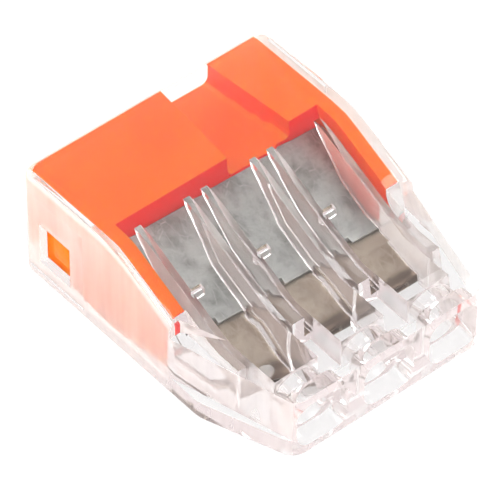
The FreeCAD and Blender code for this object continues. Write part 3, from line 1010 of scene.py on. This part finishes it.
@dataclass
class SpringTongue(Piece):
    """Clamping tongue of one way, bent up from the strip's front.

    Attributes:
        way: the wire entry that the tongue serves, from 1 at the left.
        blank: the tree that makes it.
        pitch: distance between neighbouring ways.
        width: the tongue's width.
        thickness: the sheet's thickness.
        bend_radius: outer radius of the bend.
        bend_centre: the bend's axis, along Y and Z.
        rise: how steeply the blade climbs, in radians.
        blade: the straight length after the bend.
        slot: width and height of the slot in the bend.
        waviness: how far the rolled sheet strays from flat.
        columns: the blank's points across its width.
        rows: the blank's points along its length.
        first_seed: seed of the waviness of a way numbered 0.
        edge: radius and segments of the sheared edges.
    """

    node: str = ""
    name: str = ""
    finish: Finish = Finish.SPRING
    way: int = 1
    blank: BentBlank | None = None
    pitch: float = 3.7 * MM
    width: float = 3.1 * MM
    thickness: float = 0.2 * MM
    bend_radius: float = 0.38 * MM
    bend_centre: Span = (-3.9163 * MM, 0.755 * MM)
    rise: float = math.radians(18.34)
    blade: float = 2.9545 * MM
    slot: Span = (1.3 * MM, 0.308 * MM)
    waviness: float = 0.004 * MM
    columns: int = 32
    rows: int = 66
    first_seed: int = 11
    edge: SoftEdges = SoftEdges(0.025 * MM, 1, 50.0)

    def __post_init__(self) -> None:
        """Name the piece after its way."""
        self.node = f"clamp_tongue_{self.way}"
        self.name = f"spring_tongue_{self.way}"
        self.body = f"tongue_{self.way}"

    def shape(self, node: bpy.types.Object, material: bpy.types.Material) -> bpy.types.Object:
        """Roll the blank and soften its sheared edges."""
        piece = self.blank.make(
            self.name,
            {
                "Centre": (self.way - MIDDLE_WAY) * self.pitch, "Width": self.width,
                "Thickness": self.thickness, "Bend Radius": self.bend_radius,
                "Bend Y": self.bend_centre[0], "Bend Z": self.bend_centre[1],
                "Turn": math.pi - self.rise, "Blade": self.blade, "Slot Width": self.slot[0],
                "Slot Height": self.slot[1], "Waviness": self.waviness, "Columns": self.columns,
                "Rows": self.rows, "Seed": self.first_seed + self.way, "Finish": material,
            },
        )
        self.edge.apply(piece)
        return piece


# -------------------------------------------------------------------- stage


@dataclass(frozen=True)
class Lamp:
    """One soft disc lamp, turned towards the object.

    Attributes:
        name: the lamp's name.
        place: where it hangs, in metres.
        size: the disc's diameter in metres.
        power: its power in watts.
    """

    name: str
    place: tuple[float, float, float]
    size: float
    power: float

    def hang(self) -> None:
        """Add the lamp to the scene."""
        lamp = bpy.data.lights.new(self.name, "AREA")
        lamp.shape = "DISK"
        lamp.size = self.size
        lamp.energy = self.power
        holder = bpy.data.objects.new(self.name, lamp)
        bpy.context.scene.collection.objects.link(holder)
        holder.location = self.place
        holder.rotation_euler = (-Vector(self.place)).to_track_quat("-Z", "Y").to_euler()


@dataclass
class Studio:
    """Pale floor, white surroundings, soft lamps and the camera.

    Attributes:
        azimuth: the camera's turn round the object, in degrees.
        elevation: its height above the horizon, in degrees.
        distance: its distance from the target.
        focal: its focal length, in parts of the frame.
        frame: the frame's width, in the same parts.
        sensor: the sensor's width in the camera's own unit.
        clip: nearest and farthest distance that it sees, in metres.
        target: the point that it looks at.
        surround: strength of the surroundings where they light the object.
        floor_colour: colour of the floor where it is lit.
        floor_white: share of plain white in the floor where it is looked at.
        floor_half: half of the floor's width.
        floor_drop: how far the floor lies under the object.
        lamps: the soft lamps.
    """

    azimuth: float = -40.06
    elevation: float = 46.02
    distance: float = 246.8 * MM
    focal: float = 5675.0
    frame: int = 500
    sensor: float = 36.0
    clip: Span = (0.01, 10.0)
    target: tuple[float, float, float] = (-0.309 * MM, 0.591 * MM, 2.5 * MM)
    surround: float = 0.45
    floor_colour: Colour = (0.9, 0.9, 0.9)
    floor_white: float = 0.88
    floor_half: float = 1.5
    floor_drop: float = 0.02 * MM
    lamps: tuple[Lamp, ...] = (
        Lamp("key", (-0.12, -0.10, 0.22), 0.30, 1.15),
        Lamp("fill", (0.18, -0.14, 0.16), 0.20, 0.5),
        Lamp("back", (0.02, 0.24, 0.14), 0.16, 0.55),
    )

    def build(self) -> None:
        """Build the whole stage."""
        self._floor()
        self._world()
        for lamp in self.lamps:
            lamp.hang()
        self._camera()

    def _seen(self, graph: Graph) -> Wire:
        """Return 1 for rays that look at the background and 0 for rays that light the object."""
        looking = (graph.ray("Is Camera Ray") + graph.ray("Is Transmission Ray")).clamp()
        return (looking - graph.ray("Diffuse Depth")).clamp()

    def _floor(self) -> None:
        """Lay a pale floor that keeps the object's shadow."""
        material = bpy.data.materials.new("pale_floor")
        material.use_nodes = True
        graph = Graph(material.node_tree)
        lit = graph.node("ShaderNodeBsdfDiffuse", {}, {"Color": self.floor_colour})
        white = graph.glow("ShaderNodeEmission", WHITE, 1.0)
        graph.surface(graph.mix(self._seen(graph) * self.floor_white, lit, white))
        form = bmesh.new()
        bmesh.ops.create_grid(form, x_segments=8, y_segments=8, size=self.floor_half)
        bmesh.ops.translate(form, verts=form.verts, vec=(0.0, 0.0, -self.floor_drop))
        mesh = bpy.data.meshes.new("floor")
        form.to_mesh(mesh)
        form.free()
        mesh.materials.append(material)
        link("floor", mesh)

    def _world(self) -> None:
        """Surround the object with soft white."""
        world = bpy.data.worlds.new("studio")
        bpy.context.scene.world = world
        world.use_nodes = True
        graph = Graph(world.node_tree)
        dim = graph.glow("ShaderNodeBackground", WHITE, self.surround)
        white = graph.glow("ShaderNodeBackground", WHITE, 1.0)
        graph.sink("ShaderNodeOutputWorld", "Surface", graph.mix(self._seen(graph), dim, white))

    def _camera(self) -> None:
        """Stand the camera back along its line of sight."""
        turn = math.radians(self.azimuth)
        rise = math.radians(self.elevation)
        level = math.cos(rise)
        back = Vector((math.sin(turn) * level, -math.cos(turn) * level, math.sin(rise)))
        camera = bpy.data.cameras.new("camera")
        camera.sensor_width = self.sensor
        camera.lens = self.focal / self.frame * camera.sensor_width
        camera.clip_start, camera.clip_end = self.clip
        holder = bpy.data.objects.new("camera", camera)
        bpy.context.scene.collection.objects.link(holder)
        holder.location = Vector(self.target) + back * self.distance
        holder.rotation_euler = (-back).to_track_quat("-Z", "Y").to_euler()
        bpy.context.scene.camera = holder


def main() -> None:
    """Build the connector piece by piece."""
    logging.basicConfig(level=logging.INFO, format="%(name)s %(message)s")
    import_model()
    bpy.context.scene.view_settings.view_transform = "Standard"
    Studio().build()
    palette = Palette()
    blank = BentBlank()
    pieces: list[Piece] = [
        ClearHousing(),
        OrangeCover(),
        StampedSheet("current_bar", "tinned_bar", Finish.TINNED),
        StampedSheet("spring_strip", "spring_base", Finish.SPRING),
    ]
    pieces += [SpringTongue(way=way, blank=blank) for way in WAYS]
    for piece in pieces:
        piece.build(palette)


if __name__ == "__main__":
    main()
